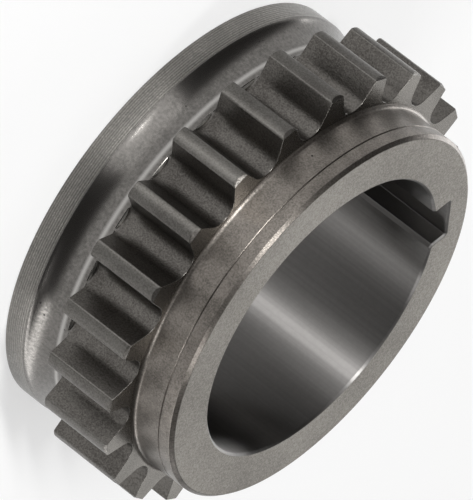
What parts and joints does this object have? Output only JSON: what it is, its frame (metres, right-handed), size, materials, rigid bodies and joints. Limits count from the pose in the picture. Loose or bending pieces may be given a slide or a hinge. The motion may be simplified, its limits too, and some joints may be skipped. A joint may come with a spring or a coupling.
{
  "type": "crankshaft sprocket",
  "caption": "One-piece steel crankshaft sprocket: keyed bore, hub nose, ring of inverted-tooth chain teeth, neck and flared rear flange.",
  "frame": {"origin": "centre of the rear face, on the axis of the bore", "axes": "+Z along the bore from the flange's rear face to the hub nose, +Y through the keyway, +X completes a right-handed frame"},
  "size_m": [0.0594, 0.0593, 0.0239],
  "materials": {
    "machined_steel": "satin, turned and hobbed"
  },
  "bodies": {
    "root": {"sprocket": "machined_steel"}
  },
  "joints": []
}
